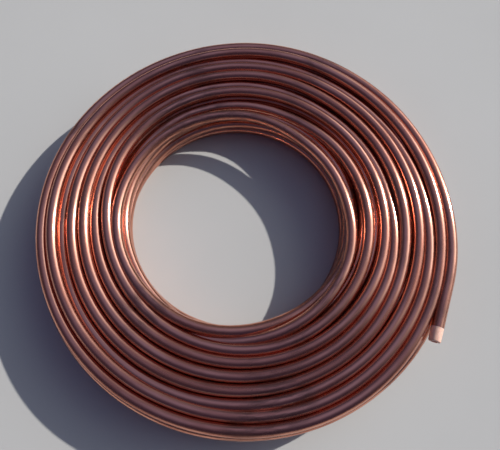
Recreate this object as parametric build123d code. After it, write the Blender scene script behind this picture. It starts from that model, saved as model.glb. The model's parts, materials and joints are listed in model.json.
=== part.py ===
from build123d import *
import os

# Coil of soft copper tube lying flat, its outer end closed with a plastic plug.
# Millimetres, +Z up. The origin is on the floor, on the axis of the coil.

# Tube
tube_diameter = 12.7
tube_wall = 0.8

# Winding
bore_diameter = 243.0
turns_across = 9
layers = 4

# Outer end of the tube, which lies on the ledge of the next layer down
end_angle = -19.5       # degrees about the axis, where the tube leaves its circle
end_straight = 50.0     # the straight run past that point
end_gap = 0.5           # between the loose tube and the turns that it lies on
sink_inward = 0.8       # how far the tube has moved inwards half a turn before its end
sink_down = 0.5         # and how far below the turns of the next layer

# Plug in the end of the tube
plug_head_length = 15.0
plug_head_slack = 0.3   # the head is this much slimmer than the tube
plug_stem_length = 12.0
plug_stem_slack = 0.2   # and the stem this much slimmer than the bore of the tube
plug_edge_chamfer = 1.2

tube_radius = tube_diameter / 2
bore_radius = bore_diameter / 2


def turn_radius(turn):
    # radius of the centre line of a turn, counted from the bore
    return bore_radius + tube_radius + turn * tube_diameter


def layer_height(layer):
    # height of the centre line of a layer, counted from the floor
    return tube_radius + layer * tube_diameter


def turns_in(layer):
    # the top layer is one turn short, and the loose end of the tube lies there
    return turns_across - 1 if layer == layers - 1 else turns_across


def is_on_rim(turn, layer):
    on_top = layer == layers - 1 or turn >= turns_in(layer + 1)
    return on_top or layer == 0 or turn == 0 or turn == turns_in(layer) - 1


def core_block(last_layer, turns):
    # section of the wound core, from centre line to centre line of the turns on its rim
    inner = turn_radius(0)
    outer = turn_radius(turns - 1)
    bottom = layer_height(0)
    top = layer_height(last_layer)
    return Pos((inner + outer) / 2, (bottom + top) / 2) * Rectangle(outer - inner, top - bottom)


def winding_section():
    # the turns on the rim are drawn with eight sides, so that their many rings stay light
    turn_outline = RegularPolygon(tube_radius, 8, major_radius=False, rotation=22.5)
    section = core_block(layers - 2, turns_across) + core_block(layers - 1, turns_across - 1)
    for layer in range(layers):
        for turn in range(turns_in(layer)):
            if is_on_rim(turn, layer):
                section += Pos(turn_radius(turn), layer_height(layer)) * turn_outline
    return section


def winding():
    return revolve(Plane.XZ * winding_section(), Axis.Z, 360)


# The loose end is drawn leaving its circle on +X and then turned to end_angle.
leave = Vector(turn_radius(turns_across - 1) + end_gap, 0, layer_height(layers - 1) + end_gap)
bury = Vector(sink_inward - turn_radius(turns_across - 1), 0, layer_height(layers - 2) - sink_down)
arc_centre = (leave + bury) / 2
arc_outward = (leave - arc_centre).normalized()
arc_axis = arc_outward.cross(Vector(0, 1, 0))
tip = leave - Vector(0, end_straight, 0)


def loose_end():
    round_run = Plane(leave, x_dir=arc_outward, z_dir=(0, 1, 0)) * Circle(tube_radius)
    straight_run = Plane(leave, x_dir=arc_outward, z_dir=(0, -1, 0)) * Circle(tube_radius)
    bent = revolve(round_run, Axis(arc_centre, arc_axis), 180)
    return bent + extrude(straight_run, end_straight)


def tube_bore():
    opening = Plane(tip, x_dir=arc_outward, z_dir=(0, 1, 0)) * Circle(tube_radius - tube_wall)
    return extrude(opening, end_straight)


def tube_coil():
    turned = Rot(0, 0, end_angle)
    return winding() + turned * loose_end() - turned * tube_bore()


def end_plug():
    head_radius = tube_radius - plug_head_slack / 2
    stem_radius = tube_radius - tube_wall - plug_stem_slack / 2
    head = extrude(Circle(head_radius), plug_head_length)
    head = chamfer(head.edges().sort_by(Axis.Z)[-1], plug_edge_chamfer)
    stem = extrude(Circle(stem_radius), -plug_stem_length)
    seat = Plane(tip, x_dir=arc_outward, z_dir=(0, -1, 0))
    return Rot(0, 0, end_angle) * (seat * (head + stem))


os.makedirs("parts", exist_ok=True)
export_step(tube_coil(), "parts/tube_coil.step")
export_step(end_plug(), "parts/end_plug.step")
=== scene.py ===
import json
import math
import random

import bmesh
import bpy
from mathutils import Euler, Matrix, Quaternion, Vector


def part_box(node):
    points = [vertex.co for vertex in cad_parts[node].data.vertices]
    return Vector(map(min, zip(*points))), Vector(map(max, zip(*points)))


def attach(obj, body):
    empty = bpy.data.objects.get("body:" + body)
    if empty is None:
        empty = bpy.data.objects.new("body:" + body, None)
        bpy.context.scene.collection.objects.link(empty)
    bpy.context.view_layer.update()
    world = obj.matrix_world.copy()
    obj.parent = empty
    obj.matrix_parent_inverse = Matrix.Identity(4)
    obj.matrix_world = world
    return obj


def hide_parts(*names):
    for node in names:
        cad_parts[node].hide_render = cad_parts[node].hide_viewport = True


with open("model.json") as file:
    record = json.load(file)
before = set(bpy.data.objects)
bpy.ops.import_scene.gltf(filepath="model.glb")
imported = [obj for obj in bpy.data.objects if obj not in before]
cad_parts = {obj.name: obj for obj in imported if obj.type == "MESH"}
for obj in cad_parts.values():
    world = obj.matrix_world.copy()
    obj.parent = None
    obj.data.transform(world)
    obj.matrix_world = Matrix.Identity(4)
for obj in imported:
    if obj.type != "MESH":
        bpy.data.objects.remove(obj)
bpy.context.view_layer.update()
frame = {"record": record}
mm = 0.001

mounts = {mount["name"]: mount for mount in frame["record"]["mounts"]}
tubeEnd = mounts["tube_end"]
tubeRadius = tubeEnd["dims"]["r_mm"] * mm
tubeSize = 2 * tubeRadius
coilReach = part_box("tube_coil")[1].y
tip = Vector(tubeEnd["pos_m"])
tipAxis = Vector(tubeEnd["axis"]).normalized()
print("frame loaded")


# Tools that several pieces use

def deselectAll():
    if bpy.context.object and bpy.context.object.mode != "OBJECT":
        bpy.ops.object.mode_set(mode="OBJECT")
    bpy.ops.object.select_all(action="DESELECT")


def selectFaces(test):
    # edit mode: the faces whose middle and normal pass the test
    mesh = bmesh.from_edit_mesh(bpy.context.object.data)
    for part in (*mesh.verts, *mesh.edges, *mesh.faces):
        part.select_set(False)
    for face in mesh.faces:
        if test(face.calc_center_median(), face.normal):
            face.select_set(True)
    bmesh.update_edit_mesh(bpy.context.object.data)


def selectEdges(test):
    # edit mode: the edges whose two ends both pass the test
    mesh = bmesh.from_edit_mesh(bpy.context.object.data)
    for part in (*mesh.verts, *mesh.edges, *mesh.faces):
        part.select_set(False)
    for edge in mesh.edges:
        if test(edge.verts[0].co) and test(edge.verts[1].co):
            edge.select_set(True)
    bmesh.update_edit_mesh(bpy.context.object.data)


class Wire:
    # a socket of a material, on which sums can be written
    def __init__(self, finish, socket):
        self.finish = finish
        self.socket = socket

    def sum(self, operation, first, second):
        return self.finish.node("Math", {"operation": operation}, {0: first, 1: second})

    def __add__(self, other):
        return self.sum("ADD", self, other)

    def __sub__(self, other):
        return self.sum("SUBTRACT", self, other)

    def __rsub__(self, other):
        return self.sum("SUBTRACT", other, self)

    def __mul__(self, other):
        return self.sum("MULTIPLY", self, other)

    def __pow__(self, other):
        return self.sum("POWER", self, other)

    def between(self, low, high):
        # 0 at low and 1 at high
        return self.finish.node("MapRange", sockets={0: self, 1: low, 2: high})

    __radd__ = __add__
    __rmul__ = __mul__


class Finish:
    # the nodes of one material, or of the world
    def __init__(self, owner, shader="Principled BSDF"):
        owner.use_nodes = True
        self.owner = owner
        self.tree = owner.node_tree
        self.shader = self.tree.nodes[shader]

    def feed(self, socket, value):
        if isinstance(value, Wire):
            self.tree.links.new(value.socket, socket)
        else:
            socket.default_value = value

    def node(self, kind, settings=(), sockets=(), output=0):
        made = self.tree.nodes.new("ShaderNode" + kind)
        for name, value in dict(settings).items():
            setattr(made, name, value)
        for name, value in dict(sockets).items():
            self.feed(made.inputs[name], value)
        return Wire(self, made.outputs[output])

    def set(self, **sockets):
        for name, value in sockets.items():
            self.feed(self.shader.inputs[name.replace("_", " ")], value)


# Copper: drawn tube, bright, with darker patches and its pattern laid along the tube

copper = {
    "clean": (0.88, 0.40, 0.275, 1),
    "tarnished": (0.60, 0.225, 0.15, 1),
    # a darker colour, laid in patches along the tube and round one given spot
    "darkPatchColour": (0.26, 0.13, 0.10, 1),
    "gloss": 0.08,                          # roughness of the cleanest metal
    "tarnishDulls": 0.14,                   # how much rougher each of these makes it
    "linesDull": 0.06,
    "marksDull": 0.04,
    "darkPatchDulls": 0.12,
    "glintSpread": 0.65,                    # the drawing lines spread a glint across the tube,
    "glintTurn": 0.25,                      # a quarter turn from its length
    "markDepth": 0.05 * mm,
    "markStrength": 0.06,
    "blotches": (90 * mm, 9 * mm, 4.0),     # patterns: length, width and detail
    "lines": (60 * mm, 0.5 * mm, 2.0),
    "marks": (7 * mm, 4 * mm, 3.0),
    "streaks": (22 * mm, 2.6 * mm, 5.0),
    "crispness": 0.6,                       # how much of the finest detail shows
    "tarnishFrom": (0.42, 0.68),            # where in its pattern each starts, and where it is full
    "darkPatchFrom": (0.52, 0.68),
    "streakFrom": (0.42, 0.58),
    "darkPatchSize": 70 * mm,
    "darkPatchDetail": 2.0,
    "darkPatchCover": 0.7,
    # a darker spot round this point: darkest within the nearer reach, none past the farther
    "darkSpotAt": (-80 * mm, 110 * mm, 45 * mm),
    "darkSpotReach": (62 * mm, 20 * mm),
}


def copperFinish(tubeLength):
    finish = Finish(bpy.data.materials.new("drawnCopper"))
    around = finish.node("UVMap", {"uv_map": "UVMap"})
    along = finish.node("SeparateXYZ", sockets={0: around}, output=0) * tubeLength
    turn = finish.node("SeparateXYZ", sockets={0: around}, output=1) * (2 * math.pi)
    side = finish.node("Math", {"operation": "COSINE"}, {0: turn}) * tubeRadius
    height = finish.node("Math", {"operation": "SINE"}, {0: turn}) * tubeRadius

    def pattern(name):
        length, width, detail = copper[name]
        spot = finish.node("CombineXYZ", sockets={
            0: along * (1 / length), 1: side * (1 / width), 2: height * (1 / width)})
        return finish.node("TexNoise", sockets={
            "Vector": spot, "Scale": 1.0, "Detail": detail, "Roughness": copper["crispness"]})

    lines = pattern("lines")
    marks = pattern("marks")
    tarnish = pattern("blotches").between(*copper["tarnishFrom"])
    # darker patches lie across neighbouring turns and round one given spot, streaked along the tube within
    # them
    place = finish.node("TexCoord", output=3)
    patches = finish.node("TexNoise", sockets={
        "Vector": place, "Scale": 1 / copper["darkPatchSize"], "Detail": copper["darkPatchDetail"]})
    darkSpot = finish.node("VectorMath", {"operation": "DISTANCE"}, {0: place, 1: copper["darkSpotAt"]}, 1)
    darkening = patches.between(*copper["darkPatchFrom"]) + darkSpot.between(*copper["darkSpotReach"])
    darkening = darkening * pattern("streaks").between(*copper["streakFrom"])
    metal = finish.node(
        "Mix", {"data_type": "RGBA"}, {0: tarnish, 6: copper["clean"], 7: copper["tarnished"]}, 2)
    dullness = tarnish * copper["tarnishDulls"] + lines * copper["linesDull"] + marks * copper["marksDull"]
    finish.set(
        Base_Color=finish.node(
            "Mix", {"data_type": "RGBA"}, {0: darkening * copper["darkPatchCover"], 6: metal, 7: copper["darkPatchColour"]}, 2),
        Metallic=1.0,
        Anisotropic=copper["glintSpread"],
        Anisotropic_Rotation=copper["glintTurn"],
        Roughness=dullness + darkening * copper["darkPatchDulls"] + copper["gloss"],
        Normal=finish.node("Bump", sockets={
            "Strength": copper["markStrength"], "Distance": copper["markDepth"], "Height": marks}),
    )
    return finish.owner


# Plug plastic: pale and satin, a little light passes through it

plugPlastic = {
    "colour": (0.88, 0.56, 0.44, 1),
    "grubby": (0.76, 0.43, 0.32, 1),
    "gloss": 0.42,
    "grubDulls": 0.14,
    "grubFrom": (0.45, 0.75),
    "grubDensity": 260.0,         # patches and grains, about this many to a metre
    "grubDetail": 4.0,
    "grainDensity": 2600.0,
    "grainDetail": 2.0,
    "grainDepth": 0.05 * mm,
    "grainStrength": 0.1,
    "lightPassing": 0.25,
    "lightColour": (1.0, 0.6, 0.4),
    "lightDepth": 2.0 * mm,
}


def plugFinish():
    finish = Finish(bpy.data.materials.new("palePlastic"))
    place = finish.node("TexCoord", output=3)
    cloud = finish.node("TexNoise", sockets={
        "Vector": place, "Scale": plugPlastic["grubDensity"], "Detail": plugPlastic["grubDetail"]})
    grain = finish.node("TexNoise", sockets={
        "Vector": place, "Scale": plugPlastic["grainDensity"], "Detail": plugPlastic["grainDetail"]})
    grub = cloud.between(*plugPlastic["grubFrom"])
    finish.set(
        Base_Color=finish.node(
            "Mix", {"data_type": "RGBA"}, {0: grub, 6: plugPlastic["colour"], 7: plugPlastic["grubby"]}, 2),
        Roughness=grub * plugPlastic["grubDulls"] + plugPlastic["gloss"],
        Subsurface_Weight=plugPlastic["lightPassing"],
        Subsurface_Radius=plugPlastic["lightColour"],
        Subsurface_Scale=plugPlastic["lightDepth"],
        Normal=finish.node("Bump", sockets={
            "Strength": plugPlastic["grainStrength"], "Distance": plugPlastic["grainDepth"], "Height": grain}),
    )
    return finish.owner


# The tube, wound inwards and outwards in four layers from the plug to its other end.
# Angles are degrees about the axis of the coil, from the right of the picture towards the back.
# A turn runs from 60 degrees before the right to 300 degrees, and a ring is a turn's place
# across the coil, counted from the outer side.

winding = {
    "rings": 9,
    "layers": 4,
    "turnStart": -60,
    "stepMiddle": -30,            # top layer: each turn moves in by one ring about here
    "stepReach": 120,
    "lowerStepFirst": 245,        # layers wound outwards: the first change of ring, and the last
    "lowerStepLast": 390,
    "lowerStepReach": 45,
    "thirdStepMiddle": -65,
    "bottomEnd": 322,             # where the hidden end of the tube lies, in the bottom layer
    "innerDrop": 280,             # where the tube goes down a layer at the bore, and at the outer side
    "outerDrop": -10,
    "dropReach": 35,
    "settleReach": 60,            # past the straight end, the tube eases into its own circle
    "slack": 0.3 * mm,            # the outermost turn stays this far inside the frame
    "ripple": 0.3 * mm,           # small waves along the tube, their pace and phase drawn from these
    "ripples": 9,
    "ripplePace": (0.7, 3.1),
    "ripplePhase": (0, 6.28),
    "pointSpacing": 11.2 * mm,
    "sides": 20,
    "smoothUnder": 40,            # edges that turn by less than this look smooth
    "wall": 0.8 * mm,
    "openLength": 25 * mm,
    "seed": 5,
}

# By how many millimetres each turn of the top layer, from the outer side to the bore,
# leaves its circle
topTurns = {
    "backBulge": [-2.4, -2.2, 3.8, 2.9, 3.5, 7.0, 5.7, 2.0, 0.6],
    "innerBulge": [0, 0, 0, 0, 0, 1.0, 1.0, 0, 2.9],
    "leftFlat": [-4.2, -4.4, 0.6, 0.2, -0.4, -0.8, -2.0, 0, 0],
    "rightFlat": [0, -3.4, -2.4, -1.5, -3.6, -2.1, -0.5, 0, 0],
    "rightDent": [-2.6, -1.2, -2.7, -0.6, -1.6, -3.3, -1.1, 0.4, -2.9],
    "backGap": [0, 0, 0, 0, 0, 0, 0, 3.7, 2.2],        # where light falls through between two turns
}
bends = {                         # where each of these starts, is full, wanes and ends
    "backBulge": (50, 125, 135, 200),
    "innerBulge": (110, 160, 180, 230),
    "leftFlat": (140, 215, 245, 300),
    "rightFlat": (-60, -10, 35, 90),
    "rightDent": (-25, 12, 50, 95),
    "backGap": (45, 95, 115, 155),
}
# Rings that have sunk between their neighbours, by how many tube diameters and where
sinks = [
    {"ring": 0, "depth": 0.38, "where": (-19, 22, 190, 270)},
    {"ring": 2, "depth": 0.60, "where": (-40, 40, 200, 290)},
    {"ring": 5, "depth": 0.60, "where": (-35, 10, 140, 230)},
    {"ring": 7, "depth": 0.50, "where": (35, 74, 106, 150)},
    {"ring": 7, "depth": 0.88, "where": (95, 168, 235, 298)},
]
# How many millimetres the bore of each layer lies off the axis, from the top layer down:
# to the right, to the back, and wider all round
boreLean = [(-12.9, -7.5, -1.7), (-7.3, 0.8, 2.5), (-8.9, -2.5, 1.2), (-11.8, -3.6, 3.1)]
topLean = {"from": 6, "reach": 2, "curve": 0.6}    # in the top layer only the inner rings lean


def ease(share):
    share = min(max(share, 0), 1)
    return share * share * (3 - 2 * share)


def change(total, middle, reach):
    # goes from 0 to 1 about a total angle
    return ease((total - middle + reach) / (2 * reach))


def swell(angle, where):
    start, full, wane, end = where
    return ease((angle - start) / (full - start)) * (1 - ease((angle - wane) / (end - wane)))


def ringAndLayer(total):
    # where the tube is across the coil and how many layers down, at a total angle from the plug
    turns = winding["rings"]
    layer = change(total, 360 * (turns - 1) + winding["innerDrop"], winding["dropReach"])
    layer += change(total, 360 * 2 * turns + winding["outerDrop"], winding["dropReach"])
    layer += change(total, 360 * (3 * turns - 1) + winding["innerDrop"], winding["dropReach"])
    ring = 0
    for step in range(turns - 1):
        # inwards in the first and third layers, outwards in the second and fourth
        spread = (winding["lowerStepLast"] - winding["lowerStepFirst"]) * step / (turns - 2)
        outward = winding["lowerStepFirst"] + spread
        inward = winding["thirdStepMiddle"]
        ring += change(total, 360 * (step + 1) + winding["stepMiddle"], winding["stepReach"])
        ring -= change(total, 360 * (turns + step) + outward, winding["lowerStepReach"])
        ring += change(total, 360 * (2 * turns + 1 + step) + inward, winding["lowerStepReach"])
        ring -= change(total, 360 * (3 * turns + step) + outward, winding["lowerStepReach"])
    return ring, layer


def leanAt(ring, layer, facing):
    # how far the lean of the bore moves a ring outwards: less the further it is from the bore
    upper = min(int(layer), winding["layers"] - 2)
    right, back, wider = (
        a + (b - a) * (layer - upper) for a, b in zip(boreLean[upper], boreLean[upper + 1]))
    share = ring / (winding["rings"] - 1)
    if layer < 1:
        topShare = (max(ring - topLean["from"], 0) / topLean["reach"]) ** topLean["curve"]
        share += (topShare - share) * (1 - layer)
    return share * mm * (right * math.cos(facing) + back * math.sin(facing) + wider)


def tubePlace(total, ripples):
    # radius and height of the tube's centre line at a total angle from the plug
    ring, layer = ringAndLayer(total)
    turn = int((total - winding["turnStart"]) // 360)
    angle = total - 360 * turn
    radius = coilReach - tubeRadius - winding["slack"] - ring * tubeSize
    if turn < winding["rings"]:
        radius += sum(topTurns[bend][turn] * mm * swell(angle, bends[bend]) for bend in bends)
    radius += leanAt(ring, layer, math.radians(angle))
    sunk = sum(
        sink["depth"] * swell(angle, sink["where"]) * max(0, 1 - abs(ring - sink["ring"])) for sink in sinks)
    sunk *= 1 - layer / (winding["layers"] - 1)
    height = (winding["layers"] - 0.5 - layer - sunk) * tubeSize
    inside = 0.1 < layer < winding["layers"] - 1.1     # the top and bottom layers stay level
    outermost = ring < 0.5                             # this ring waves only inwards
    for pace, phase, upright in ripples:
        wave = winding["ripple"] / len(ripples) * math.sin(pace * math.radians(total) + phase)
        radius += wave * (1 - upright) - abs(wave) * outermost
        height += wave * upright * inside
    return radius, height


def tubeRoute():
    # the straight end first, then the turns, in steps of equal length
    luck = random.Random(winding["seed"])
    ripples = [
        (luck.uniform(*winding["ripplePace"]), luck.uniform(*winding["ripplePhase"]), luck.random())
        for _ in range(winding["ripples"])]
    straight = tubeEnd["dims"]["length_mm"] * mm
    leave = tip - tipAxis * straight
    count = round(straight / winding["pointSpacing"])
    route = [tip - tipAxis * straight * step / count for step in range(count)]
    start = math.degrees(math.atan2(leave.y, leave.x))
    radius, height = tubePlace(start, ripples)
    offRadius = leave.xy.length - radius
    offHeight = leave.z - height
    last = 360 * (winding["layers"] * winding["rings"] - 1) + winding["bottomEnd"]
    total = start
    while total < last:
        fade = 1 - ease((total - start) / winding["settleReach"])
        radius, height = tubePlace(total, ripples)
        radius += offRadius * fade
        facing = math.radians(total)
        route.append(Vector((
            radius * math.cos(facing), radius * math.sin(facing), height + offHeight * fade)))
        total += math.degrees(winding["pointSpacing"] / radius)
    return route


def makeCoil():
    deselectAll()
    route = tubeRoute()
    length = sum((b - a).length for a, b in zip(route, route[1:]))
    bpy.ops.curve.primitive_nurbs_path_add()
    tube = bpy.context.object
    line = tube.data
    line.splines.clear()
    spline = line.splines.new("POLY")
    spline.points.add(len(route) - 1)
    for point, place in zip(spline.points, route):
        point.co = (*place, 1)
    line.dimensions = "3D"
    line.twist_mode = "Z_UP"
    line.bevel_depth = tubeRadius
    line.bevel_resolution = winding["sides"] // 2 - 2
    tube.location = (0, 0, 0)
    bpy.ops.object.convert(target="MESH")
    tube = bpy.context.object
    tube.name = "woundTube"
    openEnds(tube, route)
    bpy.ops.object.shade_smooth_by_angle(angle=math.radians(winding["smoothUnder"]))
    print("tube wound,", round(length, 2), "m")
    return tube, length


def openEnds(tube, route):
    # each end gets a flat rim of the tube's wall and a bore
    shrink = 1 - winding["wall"] / tubeRadius
    near = 0.2 * mm
    for end, nextPoint in ((route[0], route[1]), (route[-1], route[-2])):
        inward = (nextPoint - end).normalized()
        bpy.ops.object.mode_set(mode="EDIT")
        selectEdges(lambda co: (
            (co - end).length < tubeRadius + near and abs((co - end).dot(inward)) < near))
        mesh = bmesh.from_edit_mesh(tube.data)
        rim = [edge for edge in mesh.edges if edge.select and len(edge.link_faces) == 1]
        made = bmesh.ops.extrude_edge_only(mesh, edges=rim)["geom"]
        inner = [part for part in made if isinstance(part, bmesh.types.BMVert)]
        for vertex in inner:
            vertex.co = end + (vertex.co - end) * shrink
        edges = [
            part for part in made
            if isinstance(part, bmesh.types.BMEdge) and all(vertex in inner for vertex in part.verts)]
        made = bmesh.ops.extrude_edge_only(mesh, edges=edges)["geom"]
        for vertex in (part for part in made if isinstance(part, bmesh.types.BMVert)):
            vertex.co += inward * winding["openLength"]
        bmesh.update_edit_mesh(tube.data)
        bpy.ops.mesh.select_all(action="SELECT")
        bpy.ops.mesh.normals_make_consistent(inside=False)
        bpy.ops.object.mode_set(mode="OBJECT")


coil, tubeLength = makeCoil()
coil.data.materials.clear()
coil.data.materials.append(copperFinish(tubeLength))
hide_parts("tube_coil")
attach(coil, "root")


# The plug in the loose end of the tube

plugShape = {
    "headRadius": 6.2 * mm,
    "headLength": 15 * mm,
    "farRadius": 6.0 * mm,        # the head tapers a little towards its far end
    "stemRadius": 5.4 * mm,
    "stemLength": 12 * mm,
    "rounding": 1.1 * mm,
    "roundingSteps": 4,
    "rimWidth": 1.5 * mm,
    "recessDepth": 0.9 * mm,
    "recessTaper": 0.9,
    "sides": 48,
    "smoothUnder": 35,
}


def makePlug():
    deselectAll()
    length = plugShape["headLength"]
    farEnd = length - 0.01 * mm
    bpy.ops.mesh.primitive_cylinder_add(
        vertices=plugShape["sides"], radius=plugShape["headRadius"], depth=length, location=(0, 0, length / 2))
    plug = bpy.context.object
    plug.name = "tubePlug"
    bpy.ops.object.transform_apply(location=True, rotation=True, scale=True)
    bpy.ops.object.mode_set(mode="EDIT")
    selectFaces(lambda middle, normal: normal.z > 0.9)
    taper = plugShape["farRadius"] / plugShape["headRadius"]
    bpy.ops.transform.resize(value=(taper, taper, 1), center_override=(0, 0, length))
    selectEdges(lambda co: co.z > farEnd)
    bpy.ops.mesh.bevel(offset=plugShape["rounding"], segments=plugShape["roundingSteps"], affect="EDGES")
    selectFaces(lambda middle, normal: normal.z > 0.99 and middle.z > farEnd)
    bpy.ops.mesh.inset(thickness=plugShape["rimWidth"])
    bpy.ops.mesh.extrude_region_move(TRANSFORM_OT_translate={"value": (0, 0, -plugShape["recessDepth"])})
    taper = plugShape["recessTaper"]
    bpy.ops.transform.resize(value=(taper, taper, 1), center_override=(0, 0, length))
    selectFaces(lambda middle, normal: normal.z < -0.9)
    bpy.ops.mesh.inset(thickness=plugShape["headRadius"] - plugShape["stemRadius"])
    bpy.ops.mesh.extrude_region_move(TRANSFORM_OT_translate={"value": (0, 0, -plugShape["stemLength"])})
    bpy.ops.mesh.select_all(action="SELECT")
    bpy.ops.mesh.normals_make_consistent(inside=False)
    bpy.ops.object.mode_set(mode="OBJECT")
    # its head starts where the tube ends
    plug.matrix_world = Matrix.Translation(tip) @ tipAxis.to_track_quat("Z", "X").to_matrix().to_4x4()
    bpy.ops.object.transform_apply(location=True, rotation=True, scale=True)
    bpy.ops.object.shade_smooth_by_angle(angle=math.radians(plugShape["smoothUnder"]))
    print("plug made")
    return plug


plug = makePlug()
plug.data.materials.clear()
plug.data.materials.append(plugFinish())
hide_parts("end_plug")
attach(plug, "root")


# Floor, light and camera

studio = {
    "floorColour": (0.50, 0.50, 0.49, 1),
    "floorSize": 40.0,
    "floorDullness": 0.85,
    "floorShine": 0.2,
    "floorPatches": 5.0,                  # about this many to a metre, slightly darker
    "floorPatchDetail": 5.0,
    "floorPatchFrom": (0.3, 0.7),
    "floorPatchShade": 0.96,
    "backdropColour": (0.20, 0.205, 0.22, 1),
    "backdropHeight": 5.6,
    "backdropSides": 96,
    "lampFrom": (0.763, 0.423, 0.489),
    "lampColour": (1.0, 0.96, 0.90),
    "lampStrength": 4.7,
    "lampSoftness": 0.9,
    "glintFrom": (0.755, 0.44, 0.489),    # what the copper mirrors of the lamp, kept soft
    "glintColour": (1.0, 1.0, 1.0),
    "glintStrength": 1.8,
    "glintSoftness": 1.5,
    "skyTop": (0.19, 0.215, 0.38, 1),     # soft light from above and behind, dark low down
    "skyLow": (0.04, 0.037, 0.08, 1),
    "skyFrom": (0, 0.30, 0.95),
    "skyTightness": 6,
    "glowColour": (2.2, 2.5, 2.65, 1),    # and a wide soft light round the lamp
    "glowFrom": (0.81, 0.45, 0.37),
    "glowTightness": 8,
}


def makeFloor():
    deselectAll()
    bpy.ops.mesh.primitive_plane_add(size=studio["floorSize"], location=(0, 0, 0))
    floor = bpy.context.object
    floor.name = "paleFloor"
    finish = Finish(bpy.data.materials.new("paleFloor"))
    place = finish.node("TexCoord", output=3)
    cloud = finish.node("TexNoise", sockets={
        "Vector": place, "Scale": studio["floorPatches"], "Detail": studio["floorPatchDetail"]})
    patches = cloud.between(*studio["floorPatchFrom"])
    darker = (*(channel * studio["floorPatchShade"] for channel in studio["floorColour"][:3]), 1)
    finish.set(
        Base_Color=finish.node(
            "Mix", {"data_type": "RGBA"}, {0: patches, 6: studio["floorColour"], 7: darker}, 2),
        Roughness=studio["floorDullness"],
        Specular_IOR_Level=studio["floorShine"],
    )
    floor.data.materials.append(finish.owner)


def makeBackdrop():
    deselectAll()
    height = studio["backdropHeight"]
    bpy.ops.mesh.primitive_cylinder_add(
        vertices=studio["backdropSides"], radius=studio["floorSize"] / 2, depth=height,
        end_fill_type="NOTHING", location=(0, 0, height / 2))
    backdrop = bpy.context.object
    backdrop.name = "plainBackdrop"
    backdrop.visible_diffuse = False    # seen and mirrored, but it lights nothing
    backdrop.visible_shadow = False
    finish = Finish(bpy.data.materials.new("plainBackdrop"))
    finish.set(
        Base_Color=(0, 0, 0, 1),
        Specular_IOR_Level=0.0,
        Emission_Color=studio["backdropColour"],
        Emission_Strength=1.0,
    )
    backdrop.data.materials.append(finish.owner)


def makeLight():
    for name in ("lamp", "glint"):
        bpy.ops.object.light_add(type="SUN")
        lamp = bpy.context.object
        lamp.name = name
        lamp.data.energy = studio[name + "Strength"]
        lamp.data.angle = math.radians(studio[name + "Softness"])
        lamp.data.color = studio[name + "Colour"]
        lamp.rotation_euler = Vector(studio[name + "From"]).to_track_quat("Z", "Y").to_euler()
        lamp.visible_glossy = name == "glint"
        lamp.visible_diffuse = name == "lamp"
    sky = Finish(bpy.data.worlds.new("softSky"), "Background")
    direction = sky.node("TexCoord", output=0)

    def softLight(name):
        # 1 where the light comes from, falling off round it
        middle = Vector(studio[name + "From"]).normalized()
        facing = sky.node("VectorMath", {"operation": "DOT_PRODUCT"}, {0: direction, 1: middle}, 1)
        return facing.sum("MAXIMUM", facing, 0.0) ** studio[name + "Tightness"]

    plain = sky.node(
        "Mix", {"data_type": "RGBA"}, {0: softLight("sky"), 6: studio["skyLow"], 7: studio["skyTop"]}, 2)
    sky.set(Color=sky.node(
        "Mix", {"data_type": "RGBA", "blend_type": "ADD"},
        {0: softLight("glow"), 6: plain, 7: studio["glowColour"]}, 2))
    bpy.context.scene.world = sky.owner


view = {
    "pixel": 1.104 * mm,          # size of a picture pixel at the height of the top layer
    "distance": 420,              # these in such pixels, from the axis at the top layer
    "focus": 420,
    "target": (5.4, -16.7),
    "elevation": 71,
    "roll": 1.5,
    "pictureWidth": 500,
    "sensor": 36,
}


def makeCamera():
    height = (winding["layers"] - 0.5) * tubeSize
    rise = math.radians(view["elevation"])
    away = view["distance"] * view["pixel"]
    x, y = (share * view["pixel"] for share in view["target"])
    bpy.ops.object.camera_add(location=(x, y - away * math.cos(rise), height + away * math.sin(rise)))
    camera = bpy.context.object
    tilt = Euler((math.pi / 2 - rise, 0, 0)).to_quaternion()
    camera.rotation_mode = "QUATERNION"
    camera.rotation_quaternion = tilt @ Quaternion((0, 0, 1), math.radians(view["roll"]))
    camera.data.sensor_width = view["sensor"]
    camera.data.sensor_fit = "HORIZONTAL"
    camera.data.lens = view["sensor"] * view["focus"] / view["pictureWidth"]
    bpy.context.scene.camera = camera


makeFloor()
makeBackdrop()
makeLight()
makeCamera()
bpy.context.scene.view_settings.view_transform = "Standard"
print("studio set")
